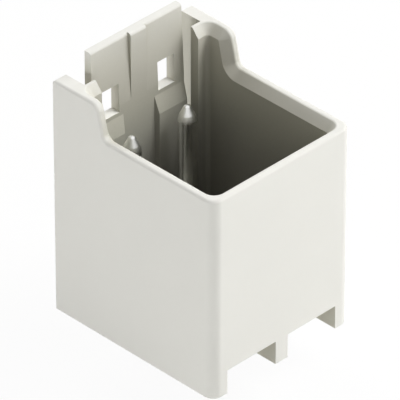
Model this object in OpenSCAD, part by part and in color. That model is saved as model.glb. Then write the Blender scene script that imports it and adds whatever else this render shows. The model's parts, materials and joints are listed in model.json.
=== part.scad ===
// Two-pole shrouded pin header for soldering to a board: one moulded housing and two round contact pins.
// Millimetres. The origin is on the board's surface, midway between the two pins.
// +X runs along the pin row, +Y towards the latch plate at the back, +Z away from the board.

/* [Contact pins] */
// Distance between the two pin axes
pitch = 5; // [4.6:0.1:6]
// Diameter of the contact end of a pin
pin_d = 1.26; // [0.9:0.02:1.4]
// Depth of the pin's tip below the front rim
pin_depth = 1.96; // [0.5:0.01:5]
// Half angle of the cone of the pin's nose
nose_angle = 27; // [12:1:30]
// Radius of the rounded end of the nose
nose_r = 0.27; // [0.2:0.01:0.5]
// Radius of the soft edge between nose and shank
shoulder_r = 1.5; // [0.2:0.05:2]
// Diameter of the barrel that is pressed into the floor
barrel_d = 1.7; // [1.6:0.05:2]
// Clearance round the barrel in its hole
barrel_gap = 0.01; // [0:0.01:0.05]
// Diameter of the solder tail
tail_d = 1; // [0.6:0.05:1.3]
// Length of the solder tail below the board's surface
tail_len = 3.2; // [2:0.1:5]
// Diameter of the flat on the tail's end
tail_tip_d = 0.6; // [0.3:0.05:0.6]
// Length of the taper on the tail's end
tail_taper = 0.5; // [0.2:0.05:1]

/* [Housing] */
// Distance from a pin's axis to the nearest side face
end_margin = 3.75; // [3.4:0.05:6]
// Distance from the pin row to the front face
front_reach = 11.09; // [8:0.01:14]
// Distance from the pin row to the rear ends of the side walls
rear_reach = 3.31; // [2.95:0.01:5]
// Height of the front rim above the board
rim_z = 15.35; // [12.5:0.05:20]
// Thickness of the side walls
wall_t = 1.05; // [0.8:0.01:1.3]
// Radius of the upright front edges
corner_r = 0.75; // [0.3:0.05:1]
// Radius of the shelf's rear corner
rear_r = 0.2; // [0.1:0.05:0.4]
// Radius of the upright edges inside
inner_r = 0.3; // [0.2:0.05:0.6]
// Radius along the outer edge of the rim
edge_r = 0.22; // [0.03:0.01:0.25]
// Height of the floor's underside above the board
standoff = 1.8; // [1:0.05:3]
// Thickness of the floor
floor_t = 1.7; // [1:0.05:2.5]
// Thickness of the side walls at their feet
foot_t = 1.3; // [1.3:0.05:1.8]
// Width of the rib under the middle of the floor
mid_foot_w = 1.1; // [0.6:0.05:1.8]

/* [Rim] */
// Width of the flat on top of the side walls' rim, with its outer edge
rim_flat = 0.5; // [0.4:0.01:0.6]
// Width of the flat on top of the front rim, with its outer edge
front_flat = 0.44; // [0.36:0.01:0.6]
// Depth of the lead-in inside the rim
lead_h = 0.68; // [0.4:0.01:0.72]
// Radius between the flat and the lead-in
lead_r = 0.22; // [0.05:0.01:0.26]
// Rise of the rear shelf above the front rim
shelf_rise = 2.52; // [1.6:0.01:4]
// Length of the flat shelf at the top of each side wall
shelf_len = 3.36; // [3.3:0.01:5]
// Lean of the step between rim and shelf, from upright
step_angle = 13; // [5:1:30]
// Radius at the top of the step
step_top_r = 0.8; // [0.8:0.05:1.2]
// Radius at the foot of the step
step_foot_r = 0.5; // [0.3:0.05:0.8]

/* [Latch plate] */
// Distance from the pin row to the face of the plate
plate_reach = 1.88; // [1.66:0.01:2.1]
// Thickness of the plate
plate_t = 0.75; // [0.6:0.05:1]
// Rise of the plate above the shelf
plate_rise = 1.58; // [0.8:0.01:3]
// Radius along the front of the plate's top edge
plate_edge_r = 0.22; // [0.05:0.01:0.25]
// Gap between the plate and each side wall
slot_w = 1.12; // [0.6:0.01:1.3]
// Height of the slots' round ends above the floor
slot_root = 2.5; // [1:0.1:6]
// Width of the upright band in the middle of the plate
band_w = 1.4; // [0.8:0.05:2]
// Setback of the two lanes beside the band, at the plate's top
lane_lean = 0.22; // [0.1:0.01:0.3]
// Height over which the lanes lean back
lane_h = 5; // [3:0.05:6]
// Width of each latch window
window_w = 1.5; // [0.8:0.05:1.7]
// Height of each latch window
window_h = 2.15; // [1:0.05:2.5]
// Depth of the window sills below the plate's top
sill_drop = 5.5; // [4.5:0.05:6]

/* [Ramps] */
// Drop from the window sill to the top of the ramp
ramp_drop = 0.3; // [0.1:0.05:1]
// Height of the ramp
ramp_h = 1.3; // [0.6:0.05:2]
// How far the ramp stands out from the plate at its foot
ramp_out = 0.31; // [0.1:0.01:0.45]
// Gap between the two ramps at the face of the plate
ramp_gap = 2.8; // [2:0.05:3.2]
// Draft of the ramps' inner flanks, across the ramp's depth
ramp_draft = 0.16; // [0:0.01:0.25]

/* [Guide ribs] */
// How far each rib stands in from the side wall
rib_reach = 0.87; // [0.6:0.01:1]
// Thickness of each rib
rib_t = 0.68; // [0.6:0.01:0.75]
// Gap between the ribs and the face of the plate
rib_gap = 0.39; // [0.2:0.01:0.5]

/* [Hidden] */

$fn = 64;
// Overrun of a cut past the surface that it opens
over = 0.05;
// How much fuller an arc is than its tangents, so that it crosses them cleanly
blend = 0.003;
// Angle by which a hollow arc runs on past its tangents
run_on = 10;

// Outline of the housing
body_w = pitch + 2 * end_margin;
half_w = body_w / 2;
front_y = -front_reach;
rear_y = rear_reach;
inner_x = half_w - wall_t;
lead_w = wall_t - rim_flat;
lead_slope = lead_w / lead_h;
lead_angle = atan(lead_h / lead_w);
inner_front_y = front_y + front_flat + lead_w;
floor_z = standoff + floor_t;
shelf_z = rim_z + shelf_rise;

// The step in the side walls, seen from the side: centres of its two arcs, and its straight
step_normal = [-cos(step_angle), sin(step_angle)];
step_down = [-sin(step_angle), -cos(step_angle)];
step_top = [rear_y - shelf_len, shelf_z - step_top_r];
straight_top = step_top + step_top_r * step_normal;
straight_len = (straight_top.y - rim_z - step_foot_r * (1 - sin(step_angle))) / cos(step_angle);
straight_foot = straight_top + straight_len * step_down;
step_foot = straight_foot + step_foot_r * step_normal;
// Where the straight meets the shelf's level and the rim's level
step_crest = straight_top - (shelf_z - straight_top.y) / cos(step_angle) * step_down;
step_root = straight_foot + (straight_foot.y - rim_z) / cos(step_angle) * step_down;

// Latch plate
plate_y = plate_reach;
plate_back_y = plate_y + plate_t;
plate_half = inner_x - slot_w;
plate_top_z = shelf_z + plate_rise;
sill_z = plate_top_z - sill_drop;
ramp_top_z = sill_z - ramp_drop;

// Guide ribs
rib_back_y = plate_y - rib_gap;
rib_front_y = rib_back_y - rib_t;
rib_tip_x = inner_x - rib_reach;

// Contact pins
pin_r = pin_d / 2;
pin_tip_z = rim_z - pin_depth;
nose_ball_z = pin_tip_z - nose_r;
// Where the cone meets the ball, and the shank
cone_top = [nose_r * cos(nose_angle), nose_ball_z + nose_r * sin(nose_angle)];
cone_foot = [pin_r, cone_top.y - (pin_r - cone_top.x) / tan(nose_angle)];

// Outline of a side wall, seen from the side: x is the row's Y, y is its Z
module side_outline() {
    difference() {
        polygon([
            [front_y, 0],
            [rear_y, 0],
            [rear_y, shelf_z],
            step_crest,
            step_root,
            [front_y, rim_z]
        ]);
        // Round shoulder at the top of the step
        difference() {
            polygon([
                step_top,
                [step_top.x, shelf_z + over],
                step_crest + over * [-1, 1],
                straight_top + over * step_normal
            ]);
            translate(step_top)
                circle(step_top_r + blend);
        }
        // Round corner at the rear of the shelf
        difference() {
            translate([rear_y - rear_r, shelf_z - rear_r])
                square(rear_r + over);
            translate([rear_y - rear_r, shelf_z - rear_r])
                circle(rear_r + blend);
        }
    }
    // Hollow at the foot of the step
    difference() {
        polygon([
            step_foot,
            [step_foot.x, rim_z - over],
            step_root + over * [1, -1],
            straight_foot - over * step_normal
        ]);
        translate(step_foot)
            circle(step_foot_r + blend);
    }
}

// Plan of a block with rounded front corners and square rear corners
module rounded_plan(half, y0, y1, radius) {
    polygon([
        [-half, y0 + radius],
        [-half + radius, y0],
        [half - radius, y0],
        [half, y0 + radius],
        [half, y1],
        [-half, y1]
    ]);
    for (side = [-1, 1])
        translate([side * (half - radius), y0 + radius])
            circle(radius);
}

// Stands a side view up on the left side wall, with its depth running inwards
module on_left_wall() {
    translate([-half_w, 0, 0])
        rotate([90, 0, 90])
            children();
}

module both_sides() {
    children();
    mirror([1, 0, 0])
        children();
}

// One straight run of a rim section, from a point of the side view, with the rim's normal at an angle.
// The section's x is the depth below the rim and its y is the distance in from the outer face.
module rim_straight(start, normal_angle, length) {
    translate([start.x, start.y, 0])
        rotate([0, 0, normal_angle + 180])
            rotate([90, 0, 0])
                linear_extrude(length)
                    children();
}

// A rim section carried along the left wall: shelf, round shoulder, step, hollow and low rim.
// A straight runs on past a round shoulder, and a hollow runs on past a straight.
module along_side_rim(start_y, end_y) {
    on_left_wall() {
        rim_straight([start_y, shelf_z], 90, start_y - step_top.x + 2 * over)
            children();
        translate([step_top.x, step_top.y, 0])
            rotate([0, 0, 90])
                rotate_extrude(angle = 90 - step_angle)
                    translate([step_top_r + blend, 0])
                        mirror([1, 0])
                            children();
        rim_straight(straight_top - 2 * over * step_down, 180 - step_angle, straight_len + 2 * over)
            children();
        translate([step_foot.x, step_foot.y, 0])
            rotate([0, 0, -90 - run_on])
                rotate_extrude(angle = 90 - step_angle + 2 * run_on)
                    translate([step_foot_r + blend, 0])
                        children();
        rim_straight([step_foot.x, rim_z], 90, step_foot.x - end_y)
            children();
    }
}

// A rim section carried along the front wall
module along_front_rim(half) {
    translate([-half, front_y, rim_z])
        rotate([0, 90, 0])
            linear_extrude(2 * half)
                children();
}

module lead_in_section() {
    polygon([
        [-over, rim_flat - over * lead_slope],
        [lead_h + over / lead_slope, wall_t + over],
        [-over, wall_t + over]
    ]);
    // Round edge between the flat and the lead-in
    run = lead_r * tan(lead_angle / 2);
    centre = [lead_r, rim_flat - run];
    normal = [-cos(lead_angle), sin(lead_angle)];
    difference() {
        polygon([
            centre,
            [-over, centre.y],
            [-over, rim_flat + over],
            centre + (lead_r + over) * normal
        ]);
        translate(centre)
            circle(lead_r + blend);
    }
}

// Carries the lead-in round an inside corner
module lead_in_corner(x, y, top_z) {
    translate([x, y, top_z])
        rotate_extrude()
            translate([inner_r + wall_t + blend, 0])
                mirror([1, 1])
                    lead_in_section();
}

// The lead-in inside the rim: side walls, front wall, ribs and the corners between them
module lead_in() {
    both_sides() {
        along_side_rim(rib_front_y - inner_r, inner_front_y + inner_r)
            lead_in_section();
        lead_in_corner(-inner_x + inner_r, inner_front_y + inner_r, rim_z);
        lead_in_corner(-inner_x + inner_r, rib_front_y - inner_r, shelf_z);
        translate([-inner_x + inner_r, rib_front_y + wall_t, shelf_z])
            rotate([0, 90, 0])
                linear_extrude(rib_reach - inner_r + over)
                    mirror([0, 1])
                        lead_in_section();
    }
    translate([0, front_flat - rim_flat, 0])
        along_front_rim(inner_x - inner_r)
            lead_in_section();
}

module rim_edge_section() {
    difference() {
        translate([-over, -over])
            square(edge_r + over);
        translate([edge_r, edge_r])
            circle(edge_r);
    }
}

// The small radius along the outer edge of the rim
module rim_edge() {
    both_sides() {
        along_side_rim(rear_y + over, front_y + corner_r - 2 * over)
            rim_edge_section();
        translate([-half_w + corner_r, front_y + corner_r, rim_z])
            rotate([0, 0, 180])
                rotate_extrude(angle = 90)
                    translate([corner_r + blend, 0])
                        mirror([1, 1])
                            rim_edge_section();
    }
    along_front_rim(half_w - corner_r + 2 * over)
        rim_edge_section();
}

module outer_block() {
    intersection() {
        linear_extrude(shelf_z)
            rounded_plan(half_w, front_y, rear_y, corner_r);
        on_left_wall()
            linear_extrude(body_w)
                side_outline();
    }
}

// The space that the plug goes into, open at the top and at the back
module cavity() {
    translate([0, 0, floor_z])
        linear_extrude(shelf_z)
            rounded_plan(inner_x, inner_front_y, rear_y + over, inner_r);
}

// The two channels under the floor, between the feet
module foot_channels() {
    both_sides()
        translate([mid_foot_w / 2, front_y - over, -over])
            cube([half_w - foot_t - mid_foot_w / 2, front_reach + rear_reach + 2 * over, standoff + over]);
}

module guide_rib() {
    translate([-half_w + rim_flat, rib_front_y, standoff])
        cube([wall_t - rim_flat + rib_reach, rib_t, shelf_z - standoff]);
    // The hollow between the rib and the wall in front of it
    translate([0, 0, standoff])
        linear_extrude(shelf_z - standoff)
            difference() {
                translate([-half_w + rim_flat, rib_front_y - inner_r])
                    square([wall_t - rim_flat + inner_r, inner_r + rib_t / 2]);
                translate([-inner_x + inner_r, rib_front_y - inner_r])
                    circle(inner_r);
            }
}

// Section of the plate, seen from the side: x is the row's Y, y is its Z
module plate_section(lean) {
    front_top = plate_y + lean;
    polygon([
        [plate_y, standoff],
        [plate_y, plate_top_z - lane_h],
        [front_top, plate_top_z - plate_edge_r],
        [front_top + plate_edge_r, plate_top_z],
        [plate_back_y, plate_top_z],
        [plate_back_y, standoff]
    ]);
    translate([front_top + plate_edge_r, plate_top_z - plate_edge_r])
        circle(plate_edge_r);
}

module across(half) {
    translate([-half, 0, 0])
        rotate([90, 0, 90])
            linear_extrude(2 * half)
                children();
}

// Thickened foot of the plate below a window, with the ramp that the latch rides up
module ramp_block() {
    difference() {
        translate([0, 0, standoff])
            linear_extrude(ramp_top_z - standoff)
                polygon([
                    [ramp_gap / 2, plate_y + over],
                    [ramp_gap / 2, plate_y],
                    [ramp_gap / 2 + ramp_draft, plate_y - ramp_out],
                    [plate_half, plate_y - ramp_out],
                    [plate_half, plate_y + over]
                ]);
        across(half_w)
            polygon([
                [plate_y, ramp_top_z],
                [plate_y - ramp_out, ramp_top_z - ramp_h],
                [plate_y - ramp_out - over, ramp_top_z - ramp_h],
                [plate_y - ramp_out - over, ramp_top_z + over],
                [plate_y, ramp_top_z + over]
            ]);
    }
}

module latch_window() {
    translate([pitch / 2 - window_w / 2, plate_y - ramp_out, sill_z])
        cube([window_w, plate_t + 2 * ramp_out, window_h]);
}

// The wall that the plate stands on, with the round roots of the two slots
module plate_root() {
    root_z = floor_z + slot_root + slot_w / 2;
    difference() {
        translate([-half_w + rim_flat, plate_y, standoff])
            cube([2 * (half_w - rim_flat), plate_t, root_z - standoff]);
        both_sides()
            translate([inner_x - slot_w / 2, plate_y - over, root_z])
                rotate([-90, 0, 0])
                    cylinder(h = plate_t + 2 * over, d = slot_w);
    }
}

module latch_plate() {
    difference() {
        union() {
            across(plate_half)
                plate_section(lane_lean);
            across(band_w / 2)
                plate_section(0);
            both_sides()
                ramp_block();
        }
        both_sides()
            latch_window();
    }
    plate_root();
}

module pin_bores() {
    for (side = [-1, 1])
        translate([side * pitch / 2, 0, standoff - over])
            cylinder(h = floor_t + 2 * over, d = barrel_d + 2 * barrel_gap);
}

module housing() {
    color("#e6e5df")
        difference() {
            union() {
                difference() {
                    outer_block();
                    cavity();
                }
                both_sides()
                    guide_rib();
                latch_plate();
            }
            lead_in();
            rim_edge();
            foot_channels();
            pin_bores();
        }
}

// A pin in half section, from its axis outwards
module pin_section() {
    difference() {
        polygon([
            [0, -tail_len],
            [tail_tip_d / 2, -tail_len],
            [tail_d / 2, tail_taper - tail_len],
            [tail_d / 2, standoff],
            [barrel_d / 2, standoff],
            [barrel_d / 2, floor_z],
            [pin_r, floor_z],
            cone_foot,
            cone_top,
            [0, nose_ball_z]
        ]);
        // Soft edge between nose and shank
        centre = cone_foot - shoulder_r * [1, tan(nose_angle / 2)];
        normal = [cos(nose_angle), sin(nose_angle)];
        difference() {
            polygon([
                centre,
                centre + [shoulder_r + over, 0],
                cone_foot + [over, 0],
                centre + (shoulder_r + over) * normal
            ]);
            translate(centre)
                circle(shoulder_r + blend);
        }
    }
    // Ball at the tip
    translate([0, nose_ball_z])
        intersection() {
            circle(nose_r + blend);
            square(2 * nose_r);
        }
}

module contact_pin(x) {
    color("#b9bab8")
        translate([x, 0, 0])
            rotate_extrude()
                pin_section();
}

module contact_pin_left() {
    contact_pin(-pitch / 2);
}

module contact_pin_right() {
    contact_pin(pitch / 2);
}

housing();
contact_pin_left();
contact_pin_right();
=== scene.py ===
import json
import math

import bpy
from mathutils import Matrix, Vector


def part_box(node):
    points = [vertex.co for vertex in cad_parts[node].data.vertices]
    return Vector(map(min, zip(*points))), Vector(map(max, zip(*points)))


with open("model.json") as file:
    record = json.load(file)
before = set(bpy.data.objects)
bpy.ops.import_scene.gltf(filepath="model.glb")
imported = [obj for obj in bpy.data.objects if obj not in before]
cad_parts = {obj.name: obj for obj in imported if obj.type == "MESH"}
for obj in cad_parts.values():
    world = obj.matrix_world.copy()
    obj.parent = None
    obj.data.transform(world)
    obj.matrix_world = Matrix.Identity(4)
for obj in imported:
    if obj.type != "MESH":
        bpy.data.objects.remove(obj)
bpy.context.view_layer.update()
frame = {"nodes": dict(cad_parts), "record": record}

MM = 0.001

PINS = ("contact_pin_left", "contact_pin_right")
# Places of the part's mounts, which the finishes follow
MOUNTS = {mount["name"]: Vector(mount["pos_m"]) for mount in frame["record"]["mounts"]}
# The lamps face the middle of the housing
MIDDLE = Vector((0, -4 * MM, 9 * MM))
WHITE = "#FFFFFF"


def linear(code):
    """A colour written as sRGB hex, in Blender's linear values."""
    channels = [int(code[i : i + 2], 16) / 255 for i in (1, 3, 5)]
    return [c / 12.92 if c <= 0.04045 else ((c + 0.055) / 1.055) ** 2.4 for c in channels] + [1.0]


def add(tree, kind, inputs=None, stops=(), **settings):
    """Adds a node with its settings and, on a colour ramp, its stops as pairs of position and sRGB hex.
    An input takes a value, or a link from another node's output."""
    made = tree.nodes.new(kind)
    for name, value in settings.items():
        setattr(made, name, value)
    for name, value in (inputs or {}).items():
        if isinstance(value, bpy.types.NodeSocket):
            tree.links.new(value, made.inputs[name])
        else:
            made.inputs[name].default_value = value
    for index, (position, code) in enumerate(stops):
        elements = made.color_ramp.elements
        stop = elements[index] if index < len(elements) else elements.new(position)
        stop.position = position
        stop.color = linear(code)
    return made


def new_material(name):
    """An empty material and its node tree."""
    made = bpy.data.materials.new(name)
    made.use_nodes = True
    made.node_tree.nodes.clear()
    return made, made.node_tree


def openness_for_painted_shade(tree, place):
    """How open a spot of the housing is, from 0 deep in the cavity to 1 on the outside; it sets how much
    shade is painted into the nylon's colour.
    """
    # Walls count up to about the cavity's own size away
    reach = 14 * MM
    shade = add(tree, "ShaderNodeAmbientOcclusion", {"Distance": reach}, samples=16, only_local=True)
    # Edges of the latch plate and its windows, behind its face, are open to the back and get little painted
    # shade, least of all where they face up
    along = add(tree, "ShaderNodeSeparateXYZ", {"Vector": place}).outputs
    normal = add(tree, "ShaderNodeNewGeometry").outputs["Normal"]
    facing = add(tree, "ShaderNodeSeparateXYZ", {"Vector": normal}).outputs
    behind_face = MOUNTS["latch_windows"].y + 0.01 * MM
    turned_from_front = -0.6
    behind = add(tree, "ShaderNodeMath", {0: along["Y"], 1: behind_face}, operation="GREATER_THAN")
    edge = add(tree, "ShaderNodeMath", {0: facing["Y"], 1: turned_from_front}, operation="GREATER_THAN")
    upward = add(tree, "ShaderNodeMapRange", {"Value": facing["Z"], "To Min": 0.3, "To Max": 1.0})
    back_edge = add(tree, "ShaderNodeMath", {0: behind.outputs[0], 1: edge.outputs[0]}, operation="MULTIPLY")
    painted_shade_lift = add(
        tree,
        "ShaderNodeMath",
        {0: back_edge.outputs[0], 1: upward.outputs["Result"]},
        operation="MULTIPLY",
    )
    opened = add(
        tree,
        "ShaderNodeMix",
        {"Factor": painted_shade_lift.outputs[0], "A": shade.outputs["AO"], "B": 1.0},
        data_type="FLOAT",
    )
    return opened.outputs["Result"]


def moulded_nylon():
    """Moulded nylon, pale warm grey from a spark-eroded tool: an even matt skin with no shine lines,
    with shade painted into its colour: pale where it is open, going dull and dark down in the plug's cavity
    and under the floor."""
    made, tree = new_material("moulded_nylon")
    place = add(tree, "ShaderNodeTexCoord").outputs["Object"]
    # Painted shade: the colour darkens where the housing is closed in, standing in for the shade in the
    # cavity and under the floor
    painted_cavity_shade = add(
        tree,
        "ShaderNodeValToRGB",
        {"Fac": openness_for_painted_shade(tree, place)},
        stops=[
            (0.0, "#85837A"),
            (0.15, "#95938C"),
            (0.3, "#AFAEA2"),
            (0.45, "#C0BEB0"),
            (0.6, "#D3D0C4"),
            (0.8, "#D7D5C9"),
            (0.97, "#EBEAE4"),
        ],
    )
    # Flow clouds of the moulding, barely there
    cloud_size = 4 * MM
    clouds = add(tree, "ShaderNodeTexNoise", {"Vector": place, "Scale": 1 / cloud_size, "Detail": 3.0})
    tint = add(
        tree,
        "ShaderNodeMapRange",
        {"Value": clouds.outputs["Fac"], "To Min": 0.985, "To Max": 1.015},
    )
    colour = add(
        tree,
        "ShaderNodeMix",
        {"Factor": 1.0, "A": painted_cavity_shade.outputs["Color"], "B": tint.outputs["Result"]},
        data_type="RGBA",
        blend_type="MULTIPLY",
    )
    # The tool's spark grain is about 0.03 mm; it is drawn two pixels of the render wide, to show at all
    grain_size = 0.12 * MM
    grain_depth = 0.02 * MM
    grain = add(tree, "ShaderNodeTexNoise", {"Vector": place, "Scale": 1 / grain_size, "Detail": 2.0})
    rough = add(tree, "ShaderNodeMapRange", {"Value": grain.outputs["Fac"], "To Min": 0.48, "To Max": 0.62})
    skin = add(
        tree,
        "ShaderNodeBump",
        {"Height": grain.outputs["Fac"], "Strength": 0.08, "Distance": grain_depth},
    )
    shader = add(
        tree,
        "ShaderNodeBsdfPrincipled",
        {
            "Base Color": colour.outputs["Result"],
            "Roughness": rough.outputs["Result"],
            "Normal": skin.outputs["Normal"],
            "IOR": 1.53,
        },
    )
    add(tree, "ShaderNodeOutputMaterial", {"Surface": shader.outputs["BSDF"]})
    return made


def tin_plated_brass():
    """Tin-plated brass wire: bright silver-grey at the contact end, with faint drawing lines along the shank
    and a duller coined nose, and matt grey from the floor down to the solder tail."""
    made, tree = new_material("tin_plated_brass")
    place = add(tree, "ShaderNodeTexCoord").outputs["Object"]
    height = add(tree, "ShaderNodeSeparateXYZ", {"Vector": place}).outputs["Z"]
    # The bright plating fades in below the length that slides in the plug's contact
    sliding_from = MOUNTS["contact_left"].z
    contact = add(
        tree,
        "ShaderNodeMapRange",
        {"Value": height, "From Min": sliding_from - 4 * MM, "From Max": sliding_from - 1 * MM},
    )
    # Soft clouds in the plating
    cloud_size = 0.6 * MM
    clouds = add(tree, "ShaderNodeTexNoise", {"Vector": place, "Scale": 1 / cloud_size, "Detail": 3.0})
    cloud = {"Fac": clouds.outputs["Fac"]}
    bright = add(tree, "ShaderNodeValToRGB", cloud, stops=[(0.3, "#EAEBE9"), (0.7, "#F5F5F3")])
    matt = add(tree, "ShaderNodeValToRGB", cloud, stops=[(0.3, "#AEAFAB"), (0.7, "#BCBDB9")])
    plating = add(
        tree,
        "ShaderNodeMix",
        {"Factor": contact.outputs["Result"], "A": matt.outputs["Color"], "B": bright.outputs["Color"]},
        data_type="RGBA",
    )
    # Drawing lines along the pin; finer ones would not show in the render
    line_gap = 0.1 * MM
    line_length = 4 * MM
    line_depth = 0.01 * MM
    stretch = (1.0, 1.0, line_gap / line_length)
    stretched = add(tree, "ShaderNodeMapping", {"Vector": place, "Scale": stretch})
    lines = add(
        tree,
        "ShaderNodeTexNoise",
        {"Vector": stretched.outputs["Vector"], "Scale": 1 / line_gap, "Detail": 1.0},
    )
    drawn = add(
        tree,
        "ShaderNodeBump",
        {"Height": lines.outputs["Fac"], "Strength": 0.1, "Distance": line_depth},
    )
    smooth = add(tree, "ShaderNodeMapRange", {"Value": lines.outputs["Fac"], "To Min": 0.14, "To Max": 0.24})
    # The coined nose is duller than the drawn shank below it, and so is the matt tail
    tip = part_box("contact_pin_left")[1].z
    nose = add(
        tree,
        "ShaderNodeMapRange",
        {
            "Value": height,
            "From Min": tip - 1.4 * MM,
            "From Max": tip - 0.9 * MM,
            "To Min": 0.0,
            "To Max": 0.16,
        },
    )
    tail = add(
        tree,
        "ShaderNodeMapRange",
        {"Value": contact.outputs["Result"], "To Min": 0.2, "To Max": 0.0},
    )
    dull = add(
        tree,
        "ShaderNodeMath",
        {0: nose.outputs["Result"], 1: tail.outputs["Result"]},
        operation="ADD",
    )
    rough = add(
        tree,
        "ShaderNodeMath",
        {0: smooth.outputs["Result"], 1: dull.outputs["Value"]},
        operation="ADD",
    )
    shader = add(
        tree,
        "ShaderNodeBsdfPrincipled",
        {
            "Base Color": plating.outputs["Result"],
            "Metallic": 1.0,
            "Roughness": rough.outputs["Value"],
            "Normal": drawn.outputs["Normal"],
        },
    )
    add(tree, "ShaderNodeOutputMaterial", {"Surface": shader.outputs["BSDF"]})
    return made


def seen_plainly(tree):
    """1 for rays from the eye and for what mirrors and clear things show,
    0 for rays that light the header."""
    ray = add(tree, "ShaderNodeLightPath").outputs
    seen = add(
        tree,
        "ShaderNodeMath",
        {0: ray["Is Camera Ray"], 1: ray["Is Glossy Ray"]},
        operation="MAXIMUM",
    )
    seen = add(
        tree,
        "ShaderNodeMath",
        {0: seen.outputs[0], 1: ray["Is Transmission Ray"]},
        operation="MAXIMUM",
    )
    return seen.outputs[0]


def white_paper():
    """Matt white studio paper: white to the camera, with the header's soft shadow left on it."""
    made, tree = new_material("white_paper")
    place = add(tree, "ShaderNodeTexCoord").outputs["Object"]
    fibre_length = 0.5 * MM
    fibre_depth = 0.02 * MM
    fibres = add(tree, "ShaderNodeTexNoise", {"Vector": place, "Scale": 1 / fibre_length, "Detail": 2.0})
    tooth = add(
        tree,
        "ShaderNodeBump",
        {"Height": fibres.outputs["Fac"], "Strength": 0.05, "Distance": fibre_depth},
    )
    paper = add(
        tree,
        "ShaderNodeBsdfDiffuse",
        {"Color": linear("#F4F4F2"), "Normal": tooth.outputs["Normal"]},
    )
    glow = add(tree, "ShaderNodeEmission", {"Color": linear(WHITE), "Strength": 1.0})
    # The eye, and mirrors such as the pins, see most of the paper as plain white
    plain_share = 0.95
    share = add(tree, "ShaderNodeMath", {0: seen_plainly(tree), 1: plain_share}, operation="MULTIPLY")
    mixed = add(
        tree,
        "ShaderNodeMixShader",
        {"Fac": share.outputs[0], 1: paper.outputs["BSDF"], 2: glow.outputs["Emission"]},
    )
    add(tree, "ShaderNodeOutputMaterial", {"Surface": mixed.outputs["Shader"]})
    return made


def studio_paper():
    """The floor, level with the ends of the solder tails."""
    level = min(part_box(pin)[0].z for pin in PINS)
    half = 1.2
    mesh = bpy.data.meshes.new("studio_paper")
    corners = [(-half, -half, level), (half, -half, level), (half, half, level), (-half, half, level)]
    mesh.from_pydata(corners, [], [(0, 1, 2, 3)])
    mesh.materials.append(white_paper())
    paper = bpy.data.objects.new("studio_paper", mesh)
    bpy.context.scene.collection.objects.link(paper)


def studio_room():
    """An even pale room: plain white to the eye and to mirrors, and a soft fill for everything else."""
    world = bpy.data.worlds.new("studio_room")
    world.use_nodes = True
    tree = world.node_tree
    tree.nodes.clear()
    fill = add(tree, "ShaderNodeBackground", {"Color": linear(WHITE), "Strength": 0.195})
    plain = add(tree, "ShaderNodeBackground", {"Color": linear(WHITE), "Strength": 1.0})
    mixed = add(
        tree,
        "ShaderNodeMixShader",
        {"Fac": seen_plainly(tree), 1: fill.outputs["Background"], 2: plain.outputs["Background"]},
    )
    add(tree, "ShaderNodeOutputWorld", {"Surface": mixed.outputs["Shader"]})
    bpy.context.scene.world = world


def soft_box(name, place, width, height, watts):
    """A soft lamp that faces the header's middle."""
    lamp = bpy.data.lights.new(name, "AREA")
    lamp.shape = "RECTANGLE"
    lamp.size = width
    lamp.size_y = height
    lamp.energy = watts
    box = bpy.data.objects.new(name, lamp)
    # Mirrors show the white room, not the lamps
    box.visible_glossy = False
    box.location = place
    box.rotation_euler = (MIDDLE - box.location).to_track_quat("-Z", "Y").to_euler()
    bpy.context.scene.collection.objects.link(box)


def photo_camera():
    """The camera, fitted to the photograph's edges: a long lens, above the header's front left corner."""
    azimuth = math.radians(-45.039)
    elevation = math.radians(34.9265)
    distance = 414.13 * MM
    target = Vector((-0.4205, -4.09, 9.3609)) * MM
    level = math.cos(elevation)
    back = Vector((math.sin(azimuth) * level, -math.cos(azimuth) * level, math.sin(elevation)))
    lens = bpy.data.cameras.new("photo_camera")
    lens.sensor_width = 36.0
    lens.lens = 581.2
    lens.clip_start = 0.01
    lens.clip_end = 20.0
    camera = bpy.data.objects.new("photo_camera", lens)
    camera.location = target + back * distance
    camera.rotation_euler = (-back).to_track_quat("-Z", "Y").to_euler()
    bpy.context.scene.collection.objects.link(camera)
    bpy.context.scene.camera = camera


def dress(node, material):
    """Gives a CAD node its finish."""
    slots = frame["nodes"][node].data.materials
    slots.clear()
    slots.append(material)


def housing():
    """The moulded shell with its latch plate."""
    dress("housing", moulded_nylon())


def contact_pins():
    """The two pins, made from the same plated wire."""
    finish = tin_plated_brass()
    for pin in PINS:
        dress(pin, finish)


photo_camera()
studio_room()
studio_paper()
soft_box("key", place=(0.198, -0.184, 0.306), width=0.2, height=0.2, watts=0.59)
soft_box("key_high", place=(0.12, -0.184, 0.345), width=0.12, height=0.12, watts=0.4)
soft_box("key_side", place=(0.3, -0.144, 0.233), width=0.2, height=0.2, watts=0.39)
soft_box("front_fill", place=(0.04, -0.324, 0.245), width=0.2, height=0.2, watts=0.16)
soft_box("rim", place=(0.1, 0.312, 0.237), width=0.2, height=0.2, watts=0.63)
soft_box("side_strip", place=(-0.4, 0.12, 0.012), width=0.12, height=0.03, watts=0.49)

housing()
contact_pins()

bpy.context.scene.view_settings.view_transform = "Standard"
